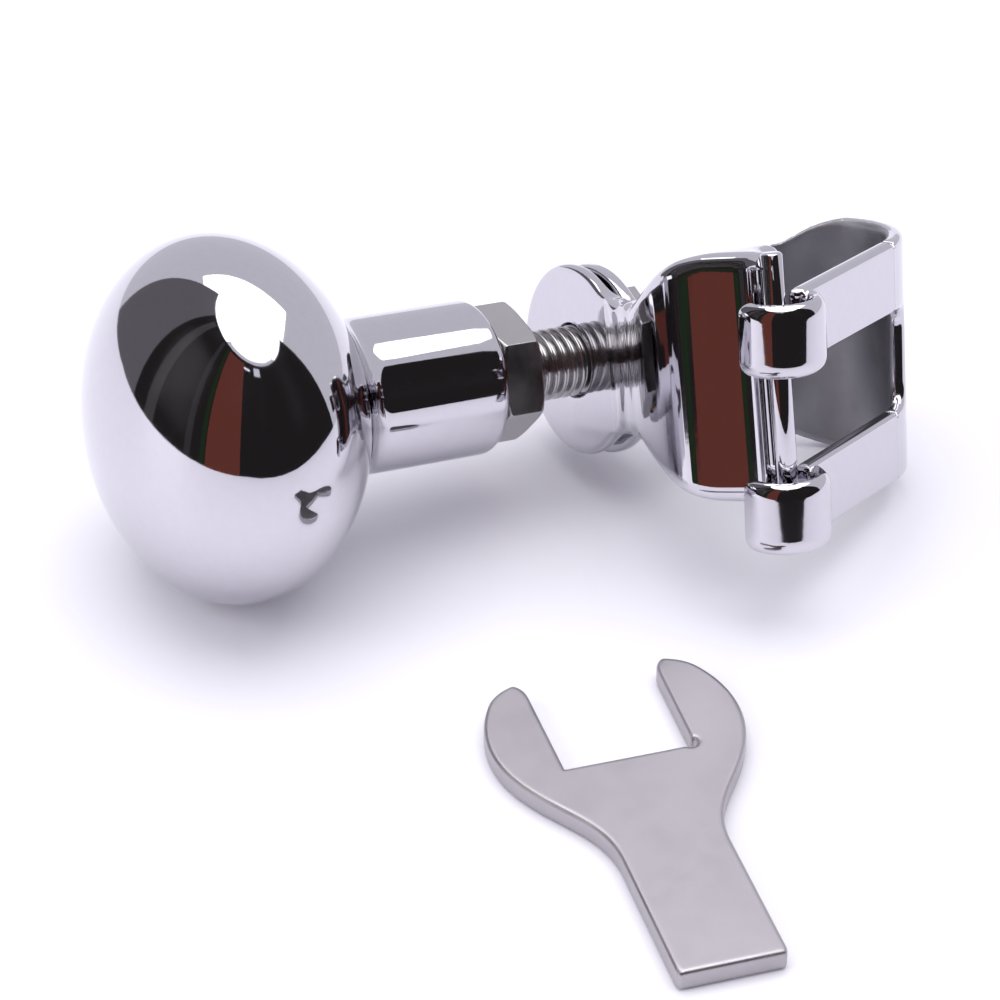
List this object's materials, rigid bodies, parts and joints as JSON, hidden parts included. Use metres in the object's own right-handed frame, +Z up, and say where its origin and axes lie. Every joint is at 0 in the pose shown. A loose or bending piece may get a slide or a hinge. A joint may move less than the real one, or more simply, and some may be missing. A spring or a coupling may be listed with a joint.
{
  "type": "steering wheel spinner knob",
  "caption": "Polished spinner knob on bushings with a screw spindle and a hinged clamp that grips a wheel rim, with its flat open-end wrench.",
  "frame": {"origin": "on the axis of the rim clamp's saddle, at the middle of its length, as the part lies on a table", "axes": "+Z up from the table; +X is the level direction the stud points in, from the knob to the clamp; +Y away from the hinge bar. The rim axis leans back and to the side, as in the lying pose"},
  "size_m": [0.1147, 0.129, 0.0499],
  "materials": {
    "polished_steel": "mirror-polished stainless steel",
    "turned_steel": "turned stainless steel",
    "satin_steel": "satin, lightly tumbled",
    "bronze": "plain sintered bronze"
  },
  "bodies": {
    "clamp": {"front_jaw": "polished_steel", "hinge_bar": "polished_steel"},
    "strap": {"strap": "polished_steel", "clamp_nut": "turned_steel"},
    "thrust_washers": {"outer_thrust_washer": "turned_steel", "inner_thrust_washer": "turned_steel"},
    "spindle": {"spindle": "turned_steel", "retaining_ring": "turned_steel"},
    "knob": {"knob_dome": "polished_steel", "knob_base": "polished_steel", "bearing_sleeve": "turned_steel", "outer_bush": "bronze", "inner_bush": "bronze"},
    "wrench": {"wrench": "satin_steel"}
  },
  "joints": [
    {"name": "strap_swivel", "type": "hinge", "parent": "clamp", "child": "strap", "pos_m": [-0.01718, 0.02021, -0.00705], "axis": [0.9898, 0, -0.1426], "range_deg": [-7.25, 0]},
    {"name": "spindle_feed", "type": "slide", "parent": "clamp", "child": "thrust_washers", "axis": [0.9898, 0, -0.1426], "range_m": [0, 0.0093]},
    {"name": "spindle_turn", "type": "hinge", "parent": "thrust_washers", "child": "spindle", "pos_m": [-0.01718, 0.02021, -0.00705], "axis": [0.9898, 0, -0.1426], "range_deg": [0, 2232]},
    {"name": "knob_spin", "type": "hinge", "parent": "thrust_washers", "child": "knob", "pos_m": [-0.06073, 0.02021, -0.00077], "axis": [0.9898, 0, -0.1426], "continuous": true},
    {"name": "wrench_lift", "type": "slide", "parent": "clamp", "child": "wrench", "axis": [0, 0, 1], "range_m": [0, 0.05]}
  ],
  "couplings": [
    {"joint": "spindle_feed", "follows": "spindle_turn", "m_per_rad": 0.00023873}
  ]
}
